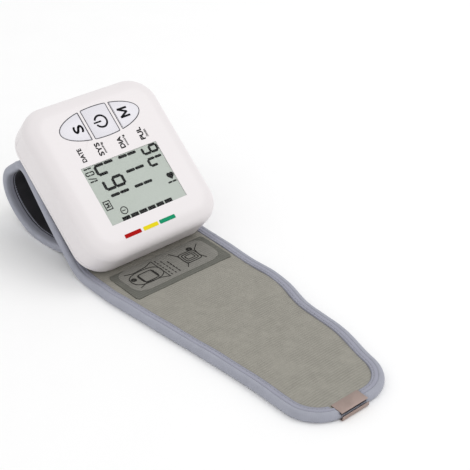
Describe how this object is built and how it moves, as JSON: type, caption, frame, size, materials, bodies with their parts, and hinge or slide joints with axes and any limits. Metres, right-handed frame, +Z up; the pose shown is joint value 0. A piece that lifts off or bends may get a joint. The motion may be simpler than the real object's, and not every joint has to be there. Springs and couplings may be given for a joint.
{
  "type": "wrist blood pressure monitor",
  "caption": "White rounded case tipped up on a grey wrap cuff: display, oval key group and battery door; cuff loops under the case with a flat folding tail.",
  "frame": {"origin": "middle of the footprint, on the surface that the cuff lies on", "axes": "+X from the tip of the cuff tail to the raised key end of the case, +Y to the side the letters stand up towards, +Z up"},
  "size_m": [0.1937, 0.066, 0.0605],
  "materials": {
    "white_shell": "fine satin white moulded ABS",
    "key": "satin, faintly bluish white",
    "lens": "clear flat acrylic window",
    "lcd": "grey-green display",
    "inner_white": "plain moulded plastic",
    "connector_rubber": "striped conductive rubber",
    "board_green": "solder mask",
    "black_part": "moulded black",
    "steel": "plated steel",
    "cell_wrap": "plain sleeve",
    "magnet": "ferrite",
    "tube_rubber": "translucent silicone",
    "saddle": "moulded nylon",
    "fabric_grey": "ribbed loop fabric",
    "lining_black": "smooth nylon lining",
    "tape_grey": "woven binding tape",
    "label_print": "printed patch",
    "stiffener": "pre-curved sheet",
    "bladder_rubber": "thin welded sheet",
    "hook": "hook tape",
    "clip_metal": "satin nickel"
  },
  "bodies": {
    "monitor": {"front_cover": "white_shell", "back_cover": "white_shell", "display_lens": "lens", "lcd_glass": "lcd", "lcd_holder": "inner_white", "lcd_connectors": "connector_rubber", "main_board": "board_green", "board_parts": "black_part", "board_screws": "steel", "key_switches": "black_part", "door_pin": "steel", "battery_cells": "cell_wrap", "battery_plates": "steel", "buzzer": "black_part", "motor_can": "steel", "motor_magnet": "magnet", "pump_head": "inner_white", "valve_body": "black_part", "air_manifold": "inner_white", "air_tubes": "tube_rubber", "pressure_sensor": "inner_white", "cuff_nozzle": "tube_rubber", "case_screws": "steel", "saddle_plate": "saddle", "saddle_screws": "steel", "cuff_fabric_base": "fabric_grey", "cuff_stiffener_base": "stiffener", "cuff_bladder": "bladder_rubber", "cuff_lining_base": "lining_black", "cuff_tape_base": "tape_grey", "cuff_label": "label_print"},
    "key_s": {"key_s": "key"},
    "key_power": {"key_power": "key"},
    "key_m": {"key_m": "key"},
    "battery_door": {"battery_door": "white_shell", "battery_springs": "steel"},
    "pump_rotor": {"pump_rotor": "steel"},
    "valve_plunger": {"valve_plunger": "steel"},
    "cuff_curl": {"cuff_fabric_curl": "fabric_grey", "cuff_stiffener_curl": "stiffener", "cuff_lining_curl": "lining_black", "cuff_tape_curl": "tape_grey"},
    "tail_inner": {"cuff_fabric_mid": "fabric_grey", "cuff_lining_mid": "lining_black", "cuff_tape_mid": "tape_grey"},
    "tail_outer": {"cuff_fabric_tip": "fabric_grey", "cuff_lining_tip": "lining_black", "cuff_tape_tip": "tape_grey", "hook_patch": "hook", "end_clip": "clip_metal"}
  },
  "joints": [
    {"name": "key_s_press", "type": "slide", "parent": "monitor", "child": "key_s", "axis": [0.6428, 0, -0.766], "range_m": [0, 0.0004], "stiffness_N_per_m": 1500},
    {"name": "key_power_press", "type": "slide", "parent": "monitor", "child": "key_power", "axis": [0.6428, 0, -0.766], "range_m": [0, 0.0004], "stiffness_N_per_m": 1500},
    {"name": "key_m_press", "type": "slide", "parent": "monitor", "child": "key_m", "axis": [0.6428, 0, -0.766], "range_m": [0, 0.0004], "stiffness_N_per_m": 1500},
    {"name": "battery_door_hinge", "type": "hinge", "parent": "monitor", "child": "battery_door", "pos_m": [0.03645, -0.0315, 0.02659], "axis": [-0.766, 0, -0.6428], "range_deg": [0, 90]},
    {"name": "pump_spin", "type": "hinge", "parent": "monitor", "child": "pump_rotor", "pos_m": [0.06883, 0, 0.04463], "axis": [0, 1, 0], "continuous": true},
    {"name": "valve_stroke", "type": "slide", "parent": "monitor", "child": "valve_plunger", "axis": [0, -1, 0], "range_m": [0, 0.0008], "stiffness_N_per_m": 300},
    {"name": "cuff_curl_flex", "type": "hinge", "parent": "monitor", "child": "cuff_curl", "pos_m": [0.09527, 0, 0.01806], "axis": [0, -1, 0], "range_deg": [0, 35], "stiffness_Nm_per_rad": 1.5},
    {"name": "tail_inner_fold", "type": "hinge", "parent": "monitor", "child": "tail_inner", "pos_m": [-0.00147, 0, 0.0016], "axis": [0, -1, 0], "range_deg": [-60, 70]},
    {"name": "tail_outer_fold", "type": "hinge", "parent": "tail_inner", "child": "tail_outer", "pos_m": [-0.04947, 0, 0.0016], "axis": [0, -1, 0], "range_deg": [-60, 75]}
  ]
}
